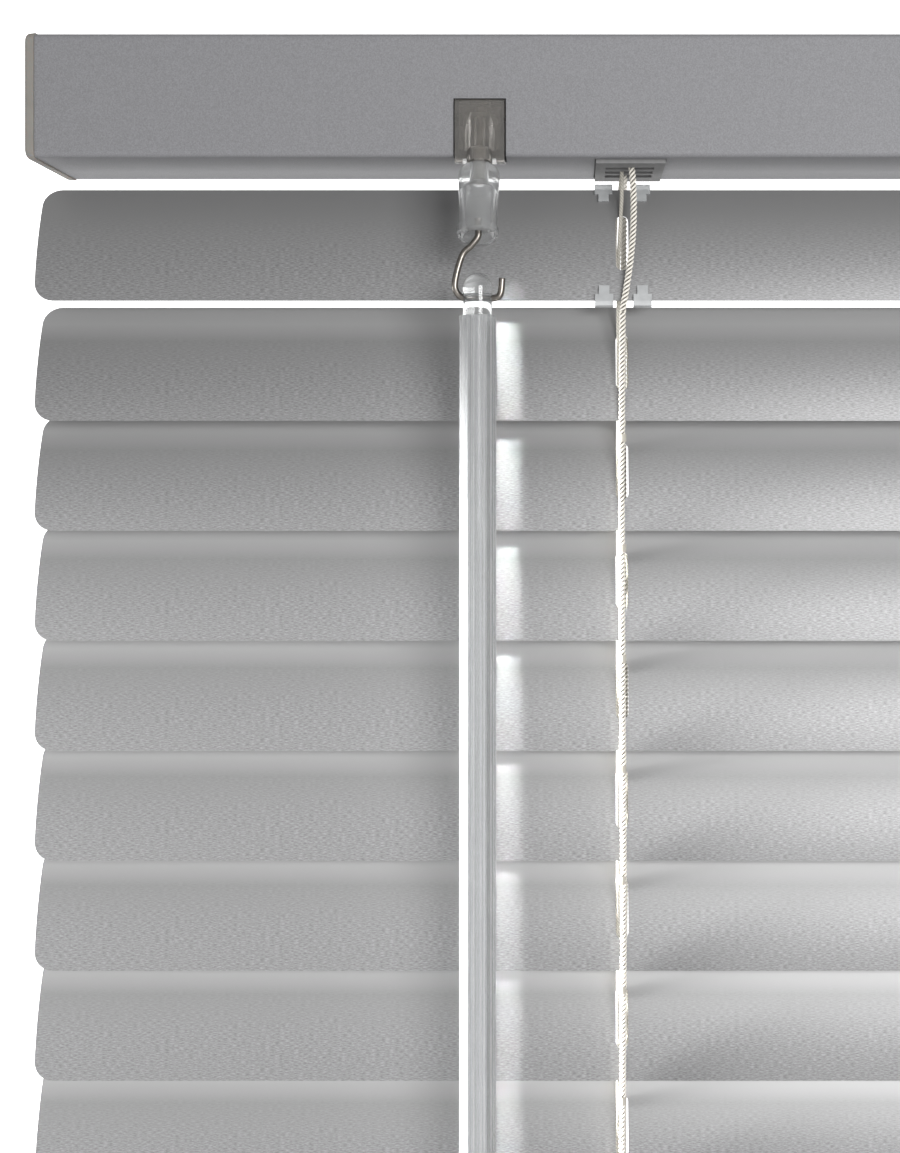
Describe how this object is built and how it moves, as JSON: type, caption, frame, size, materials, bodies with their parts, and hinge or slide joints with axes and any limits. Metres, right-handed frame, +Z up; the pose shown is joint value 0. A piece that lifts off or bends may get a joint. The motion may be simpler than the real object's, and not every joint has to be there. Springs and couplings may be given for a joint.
{
  "type": "venetian blind",
  "caption": "Closed aluminium venetian blind: square headrail with worm tilter and clear wand, cupped slats on string ladders with lift cords, oval bottom rail.",
  "frame": {"origin": "Centre of the two bracket screw holes, on the ceiling plane that the brackets are screwed to.", "axes": "+X along the blind to the right seen from the room, the room is on the -Y side, +Z up."},
  "size_m": [0.6002, 0.0368, 0.3846],
  "materials": {
    "headrail_paint": "fine speckled stoved paint",
    "slat_paint": "satin stoved paint, faintly grained",
    "rail_paint": "satin stoved paint",
    "smoked_plastic": "clear moulded plastic, smoky over a dark inside",
    "clear_plastic": "clear moulded plastic",
    "wand_plastic": "clear extruded plastic with fine lines",
    "cap_plastic": "milky moulded plastic",
    "lock_plastic": "moulded",
    "steel": "plain drawn steel",
    "bracket_steel": "plain paint",
    "white_plastic": "moulded",
    "ladder_string": "twisted polyester",
    "lift_cord": "smooth braided polyester"
  },
  "bodies": {
    "headrail": {"headrail": "headrail_paint", "end_cap_left": "cap_plastic", "end_cap_right": "cap_plastic", "tilter_housing": "smoked_plastic", "ladder_cradles": "clear_plastic", "cord_lock_body": "lock_plastic", "cord_lock_pin": "steel", "mounting_brackets": "bracket_steel", "lift_cords": "lift_cord", "lift_cord_run": "lift_cord"},
    "tilt_shaft": {"tilt_rod": "steel", "tilt_drum_left": "white_plastic", "tilt_drum_right": "white_plastic", "tilter_gear": "white_plastic"},
    "spindle": {"tilter_worm": "white_plastic", "wand_sleeve": "clear_plastic"},
    "hook": {"wand_hook": "steel"},
    "wand": {"wand_head": "clear_plastic", "wand_tube": "wand_plastic", "wand_tip": "clear_plastic"},
    "lock_roller": {"cord_lock_roller": "steel"},
    "ladder_front": {"ladder_front_cords": "ladder_string"},
    "ladder_back": {"ladder_back_cords": "ladder_string"},
    "slat_01": {"slat_01": "slat_paint", "slat_clips": "clear_plastic"},
    "rail_carrier": {"rail_knots": "ladder_string"},
    "rail": {"bottom_rail": "rail_paint", "rail_cap_left": "cap_plastic", "rail_cap_right": "cap_plastic"},
    "carrier_02": {"knots_02": "ladder_string"},
    "slat_02": {"slat_02": "slat_paint"},
    "carrier_03": {"knots_03": "ladder_string"},
    "slat_03": {"slat_03": "slat_paint"},
    "carrier_04": {"knots_04": "ladder_string"},
    "slat_04": {"slat_04": "slat_paint"},
    "carrier_05": {"knots_05": "ladder_string"},
    "slat_05": {"slat_05": "slat_paint"},
    "carrier_06": {"knots_06": "ladder_string"},
    "slat_06": {"slat_06": "slat_paint"},
    "carrier_07": {"knots_07": "ladder_string"},
    "slat_07": {"slat_07": "slat_paint"},
    "carrier_08": {"knots_08": "ladder_string"},
    "slat_08": {"slat_08": "slat_paint"},
    "carrier_09": {"knots_09": "ladder_string"},
    "slat_09": {"slat_09": "slat_paint"},
    "carrier_10": {"knots_10": "ladder_string"},
    "slat_10": {"slat_10": "slat_paint"},
    "carrier_11": {"knots_11": "ladder_string"},
    "slat_11": {"slat_11": "slat_paint"},
    "carrier_12": {"knots_12": "ladder_string"},
    "slat_12": {"slat_12": "slat_paint"},
    "carrier_13": {"knots_13": "ladder_string"},
    "slat_13": {"slat_13": "slat_paint"},
    "carrier_14": {"knots_14": "ladder_string"},
    "slat_14": {"slat_14": "slat_paint"}
  },
  "joints": [
    {"name": "tilt", "type": "hinge", "parent": "headrail", "child": "tilt_shaft", "pos_m": [0, 0, -0.0135], "axis": [-1, 0, 0], "range_deg": [0, 150]},
    {"name": "spindle_turn", "type": "hinge", "parent": "headrail", "child": "spindle", "pos_m": [-0.2066, -0.0125, -0.026], "axis": [0, -0.342, -0.9397], "range_deg": [0, 1800]},
    {"name": "hook_turn", "type": "hinge", "parent": "headrail", "child": "hook", "pos_m": [-0.2066, -0.0184, -0.0406], "axis": [0, 0, -1], "range_deg": [0, 1800]},
    {"name": "wand_swing", "type": "hinge", "parent": "hook", "child": "wand", "pos_m": [-0.2066, -0.0184, -0.05505], "axis": [-1, 0, 0], "range_deg": [0, 60]},
    {"name": "ladder_front_turn", "type": "hinge", "parent": "tilt_shaft", "child": "ladder_front", "pos_m": [0, -0.00419, -0.02915], "axis": [-1, 0, 0], "range_deg": [-150, 0]},
    {"name": "ladder_back_turn", "type": "hinge", "parent": "tilt_shaft", "child": "ladder_back", "pos_m": [0, 0.00419, 0.00215], "axis": [-1, 0, 0], "range_deg": [-150, 0]},
    {"name": "slat_01_tilt", "type": "hinge", "parent": "ladder_front", "child": "slat_01", "pos_m": [0, -0.00419, -0.05765], "axis": [-1, 0, 0], "range_deg": [0, 150]},
    {"name": "lift", "type": "slide", "parent": "ladder_front", "child": "rail_carrier", "axis": [0, 0, 1], "range_m": [0, 0.2378], "deforming": ["lift_cords", "ladder_front_cords", "ladder_back_cords"]},
    {"name": "rail_tilt", "type": "hinge", "parent": "rail_carrier", "child": "rail", "pos_m": [0, -0.00419, -0.38345], "axis": [-1, 0, 0], "range_deg": [0, 150]},
    {"name": "slat_02_lift", "type": "slide", "parent": "ladder_front", "child": "carrier_02", "axis": [0, 0, 1], "range_m": [0, 0.011]},
    {"name": "slat_02_tilt", "type": "hinge", "parent": "carrier_02", "child": "slat_02", "pos_m": [0, -0.00419, -0.08265], "axis": [-1, 0, 0], "range_deg": [0, 150]},
    {"name": "slat_03_lift", "type": "slide", "parent": "ladder_front", "child": "carrier_03", "axis": [0, 0, 1], "range_m": [0, 0.0299]},
    {"name": "slat_03_tilt", "type": "hinge", "parent": "carrier_03", "child": "slat_03", "pos_m": [0, -0.00419, -0.10555], "axis": [-1, 0, 0], "range_deg": [0, 150]},
    {"name": "slat_04_lift", "type": "slide", "parent": "ladder_front", "child": "carrier_04", "axis": [0, 0, 1], "range_m": [0, 0.0488]},
    {"name": "slat_04_tilt", "type": "hinge", "parent": "carrier_04", "child": "slat_04", "pos_m": [0, -0.00419, -0.12845], "axis": [-1, 0, 0], "range_deg": [0, 150]},
    {"name": "slat_05_lift", "type": "slide", "parent": "ladder_front", "child": "carrier_05", "axis": [0, 0, 1], "range_m": [0, 0.0677]},
    {"name": "slat_05_tilt", "type": "hinge", "parent": "carrier_05", "child": "slat_05", "pos_m": [0, -0.00419, -0.15135], "axis": [-1, 0, 0], "range_deg": [0, 150]},
    {"name": "slat_06_lift", "type": "slide", "parent": "ladder_front", "child": "carrier_06", "axis": [0, 0, 1], "range_m": [0, 0.0866]},
    {"name": "slat_06_tilt", "type": "hinge", "parent": "carrier_06", "child": "slat_06", "pos_m": [0, -0.00419, -0.17425], "axis": [-1, 0, 0], "range_deg": [0, 150]},
    {"name": "slat_07_lift", "type": "slide", "parent": "ladder_front", "child": "carrier_07", "axis": [0, 0, 1], "range_m": [0, 0.1055]},
    {"name": "slat_07_tilt", "type": "hinge", "parent": "carrier_07", "child": "slat_07", "pos_m": [0, -0.00419, -0.19715], "axis": [-1, 0, 0], "range_deg": [0, 150]},
    {"name": "slat_08_lift", "type": "slide", "parent": "ladder_front", "child": "carrier_08", "axis": [0, 0, 1], "range_m": [0, 0.1244]},
    {"name": "slat_08_tilt", "type": "hinge", "parent": "carrier_08", "child": "slat_08", "pos_m": [0, -0.00419, -0.22005], "axis": [-1, 0, 0], "range_deg": [0, 150]},
    {"name": "slat_09_lift", "type": "slide", "parent": "ladder_front", "child": "carrier_09", "axis": [0, 0, 1], "range_m": [0, 0.1433]},
    {"name": "slat_09_tilt", "type": "hinge", "parent": "carrier_09", "child": "slat_09", "pos_m": [0, -0.00419, -0.24295], "axis": [-1, 0, 0], "range_deg": [0, 150]},
    {"name": "slat_10_lift", "type": "slide", "parent": "ladder_front", "child": "carrier_10", "axis": [0, 0, 1], "range_m": [0, 0.1622]},
    {"name": "slat_10_tilt", "type": "hinge", "parent": "carrier_10", "child": "slat_10", "pos_m": [0, -0.00419, -0.26585], "axis": [-1, 0, 0], "range_deg": [0, 150]},
    {"name": "slat_11_lift", "type": "slide", "parent": "ladder_front", "child": "carrier_11", "axis": [0, 0, 1], "range_m": [0, 0.1811]},
    {"name": "slat_11_tilt", "type": "hinge", "parent": "carrier_11", "child": "slat_11", "pos_m": [0, -0.00419, -0.28875], "axis": [-1, 0, 0], "range_deg": [0, 150]},
    {"name": "slat_12_lift", "type": "slide", "parent": "ladder_front", "child": "carrier_12", "axis": [0, 0, 1], "range_m": [0, 0.2]},
    {"name": "slat_12_tilt", "type": "hinge", "parent": "carrier_12", "child": "slat_12", "pos_m": [0, -0.00419, -0.31165], "axis": [-1, 0, 0], "range_deg": [0, 150]},
    {"name": "slat_13_lift", "type": "slide", "parent": "ladder_front", "child": "carrier_13", "axis": [0, 0, 1], "range_m": [0, 0.2189]},
    {"name": "slat_13_tilt", "type": "hinge", "parent": "carrier_13", "child": "slat_13", "pos_m": [0, -0.00419, -0.33455], "axis": [-1, 0, 0], "range_deg": [0, 150]},
    {"name": "slat_14_lift", "type": "slide", "parent": "ladder_front", "child": "carrier_14", "axis": [0, 0, 1], "range_m": [0, 0.2378]},
    {"name": "slat_14_tilt", "type": "hinge", "parent": "carrier_14", "child": "slat_14", "pos_m": [0, -0.00419, -0.35745], "axis": [-1, 0, 0], "range_deg": [0, 150]},
    {"name": "roller_turn", "type": "hinge", "parent": "headrail", "child": "lock_roller", "pos_m": [0.244, 0, -0.0175], "axis": [0, 1, 0], "range_deg": [0, 4542.65]}
  ],
  "couplings": [
    {"joint": "spindle_turn", "follows": "tilt", "ratio": 12},
    {"joint": "hook_turn", "follows": "tilt", "ratio": 12},
    {"joint": "ladder_front_turn", "follows": "tilt", "ratio": -1},
    {"joint": "ladder_back_turn", "follows": "tilt", "ratio": -1},
    {"joint": "slat_01_tilt", "follows": "tilt", "ratio": 1},
    {"joint": "rail_tilt", "follows": "tilt", "ratio": 1},
    {"joint": "slat_02_lift", "follows": "lift", "ratio": 0.046257},
    {"joint": "slat_02_tilt", "follows": "tilt", "ratio": 1},
    {"joint": "slat_03_lift", "follows": "lift", "ratio": 0.12574},
    {"joint": "slat_03_tilt", "follows": "tilt", "ratio": 1},
    {"joint": "slat_04_lift", "follows": "lift", "ratio": 0.20521},
    {"joint": "slat_04_tilt", "follows": "tilt", "ratio": 1},
    {"joint": "slat_05_lift", "follows": "lift", "ratio": 0.28469},
    {"joint": "slat_05_tilt", "follows": "tilt", "ratio": 1},
    {"joint": "slat_06_lift", "follows": "lift", "ratio": 0.36417},
    {"joint": "slat_06_tilt", "follows": "tilt", "ratio": 1},
    {"joint": "slat_07_lift", "follows": "lift", "ratio": 0.44365},
    {"joint": "slat_07_tilt", "follows": "tilt", "ratio": 1},
    {"joint": "slat_08_lift", "follows": "lift", "ratio": 0.52313},
    {"joint": "slat_08_tilt", "follows": "tilt", "ratio": 1},
    {"joint": "slat_09_lift", "follows": "lift", "ratio": 0.60261},
    {"joint": "slat_09_tilt", "follows": "tilt", "ratio": 1},
    {"joint": "slat_10_lift", "follows": "lift", "ratio": 0.68209},
    {"joint": "slat_10_tilt", "follows": "tilt", "ratio": 1},
    {"joint": "slat_11_lift", "follows": "lift", "ratio": 0.76156},
    {"joint": "slat_11_tilt", "follows": "tilt", "ratio": 1},
    {"joint": "slat_12_lift", "follows": "lift", "ratio": 0.84104},
    {"joint": "slat_12_tilt", "follows": "tilt", "ratio": 1},
    {"joint": "slat_13_lift", "follows": "lift", "ratio": 0.92052},
    {"joint": "slat_13_tilt", "follows": "tilt", "ratio": 1},
    {"joint": "slat_14_lift", "follows": "lift", "ratio": 1},
    {"joint": "slat_14_tilt", "follows": "tilt", "ratio": 1},
    {"joint": "roller_turn", "follows": "lift", "rad_per_m": 333.33}
  ]
}
